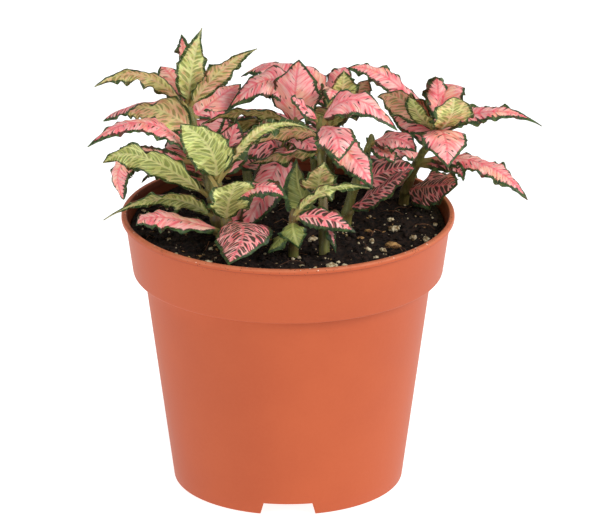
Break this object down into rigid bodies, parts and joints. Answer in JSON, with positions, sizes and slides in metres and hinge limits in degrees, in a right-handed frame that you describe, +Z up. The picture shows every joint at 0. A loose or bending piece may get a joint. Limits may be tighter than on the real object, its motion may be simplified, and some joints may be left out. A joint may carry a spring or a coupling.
{
  "type": "potted nerve plant",
  "caption": "Bushy pink-veined nerve plant with wavy-edged leaves on short upright stems, growing in potting mix in a round tapered nursery pot.",
  "frame": {"origin": "centre of the pot's base, on the surface that the pot stands on", "axes": "+Z up along the pot's axis; the front of the plant faces -Y and +X is to its right"},
  "size_m": [0.1626, 0.1304, 0.1736],
  "materials": {
    "pot_plastic": "matte moulded terracotta-coloured plastic",
    "potting_mix": "moist dark peat and bark with bits of perlite",
    "foliage": "soft satin leaves, pink with green veins and margins"
  },
  "bodies": {
    "root": {"pot": "pot_plastic", "potting_mix": "potting_mix", "leafy_stem_left_tall": "foliage", "leafy_stem_left_front": "foliage", "leafy_stem_front_low": "foliage", "leafy_stem_front_centre": "foliage", "leafy_stem_right_low": "foliage", "leafy_stem_right_tall": "foliage", "leafy_stem_middle": "foliage", "leafy_stem_back_centre": "foliage", "leafy_stem_back_left": "foliage", "leafy_stem_back_right": "foliage", "leafy_stem_far_right": "foliage"}
  },
  "joints": []
}
